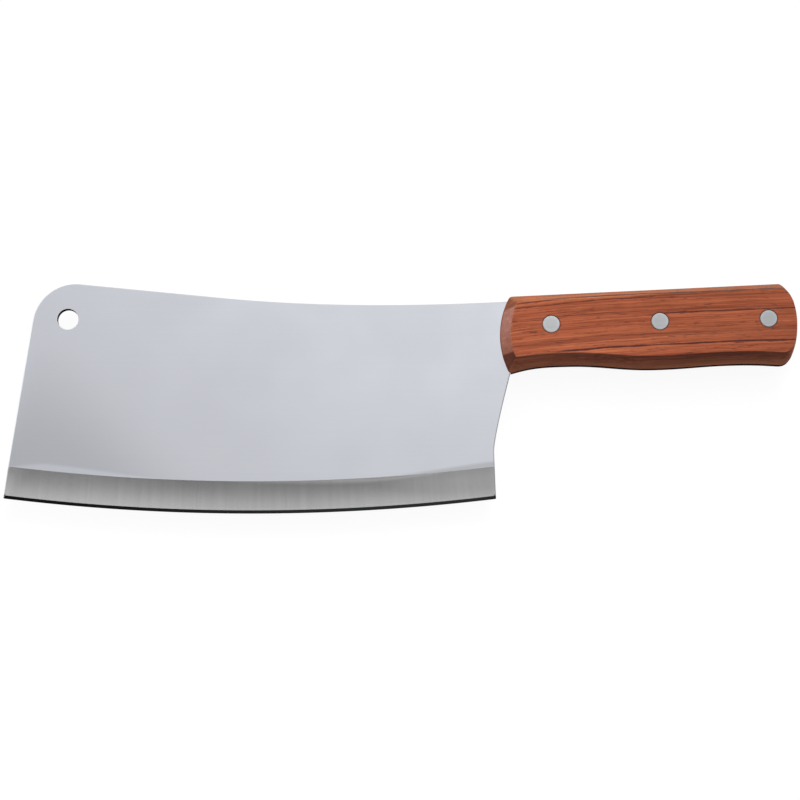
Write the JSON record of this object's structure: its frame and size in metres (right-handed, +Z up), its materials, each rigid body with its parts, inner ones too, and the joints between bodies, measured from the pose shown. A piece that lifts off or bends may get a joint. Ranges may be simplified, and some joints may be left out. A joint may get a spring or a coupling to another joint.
{
  "type": "cleaver",
  "caption": "Heavy kitchen cleaver: a wide hollow-ground steel blade with a hanging hole, and a chamfered wooden handle riveted to its full tang.",
  "frame": {"origin": "on the surface that the cleaver lies on, under the middle of its outline", "axes": "+X from the blade's tip to the handle's butt, +Y from the cutting edge to the spine, +Z up through the blade's thickness"},
  "size_m": [0.3258, 0.0952, 0.0216],
  "materials": {
    "blade_steel": "satin, with fine vertical grinding lines on the bevel",
    "handle_wood": "oiled reddish-brown hardwood with dark veins",
    "rivet_steel": "satin, ground flush with the wood"
  },
  "bodies": {
    "root": {"blade": "blade_steel", "front_scale": "handle_wood", "rear_scale": "handle_wood", "front_rivet_tube": "rivet_steel", "front_rivet_post": "rivet_steel", "middle_rivet_tube": "rivet_steel", "middle_rivet_post": "rivet_steel", "rear_rivet_tube": "rivet_steel", "rear_rivet_post": "rivet_steel"}
  },
  "joints": []
}
